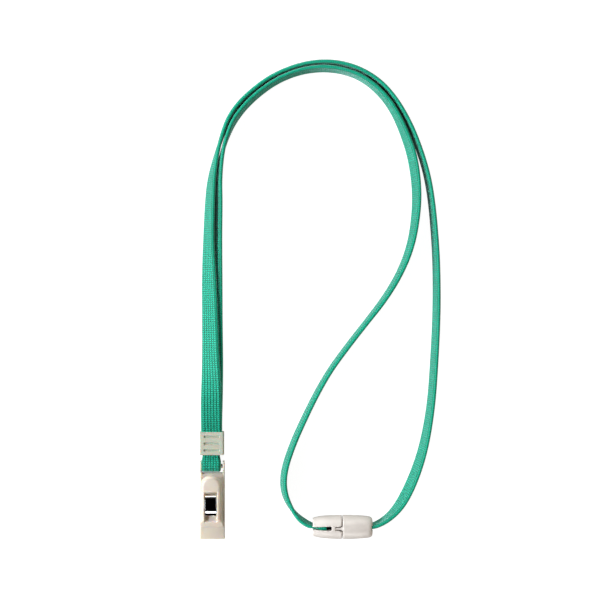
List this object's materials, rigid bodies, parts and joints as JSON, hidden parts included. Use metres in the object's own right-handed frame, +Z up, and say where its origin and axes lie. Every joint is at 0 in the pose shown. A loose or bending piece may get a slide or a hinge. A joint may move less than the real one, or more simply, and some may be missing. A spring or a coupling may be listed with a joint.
{
  "type": "lanyard badge holder",
  "caption": "Flat woven neck lanyard laid in a loop, with a breakaway buckle, a soft collar and a plastic spring clip for a badge.",
  "frame": {"origin": "on the flat underside of the clip's back plate, at the middle of its jaw", "axes": "+Y up the doubled strap away from the clip, +Z up from the surface it lies on, +X across the clip towards the buckle"},
  "size_m": [0.105, 0.2094, 0.0124],
  "materials": {
    "strap_fabric": "ribbed flat weave, soft sheen",
    "collar_vinyl": "milky translucent vinyl",
    "clip_plastic": "warm white moulded plastic",
    "spring_steel": "bright polished strip",
    "buckle_plastic": "glossy white moulded plastic"
  },
  "bodies": {
    "strap_body": {"strap_outer_run": "strap_fabric", "strap_inner_run": "strap_fabric", "strap_clip_loop": "strap_fabric", "strap_plug_hem": "strap_fabric", "collar": "collar_vinyl", "buckle_plug": "buckle_plastic"},
    "clip_body": {"clip_back_plate": "clip_plastic", "clip_spring": "spring_steel"},
    "lever_body": {"clip_front_lever": "clip_plastic"},
    "socket_body": {"buckle_socket": "buckle_plastic", "strap_inner_tail": "strap_fabric", "strap_socket_hem": "strap_fabric"}
  },
  "joints": [
    {"name": "clip_swing", "type": "hinge", "parent": "strap_body", "child": "clip_body", "pos_m": [0, 0.0292, 0.00285], "axis": [-1, 0, 0], "range_deg": [0, 90]},
    {"name": "lever_squeeze", "type": "hinge", "parent": "clip_body", "child": "lever_body", "pos_m": [0, 0.014, 0.0032], "axis": [-1, 0, 0], "range_deg": [0, 14], "stiffness_Nm_per_rad": 0.08, "springref_deg": -20.05, "deforming": ["clip_spring"]},
    {"name": "buckle_release", "type": "slide", "parent": "strap_body", "child": "socket_body", "axis": [-1, 0, 0], "range_m": [0, 0.007]}
  ]
}
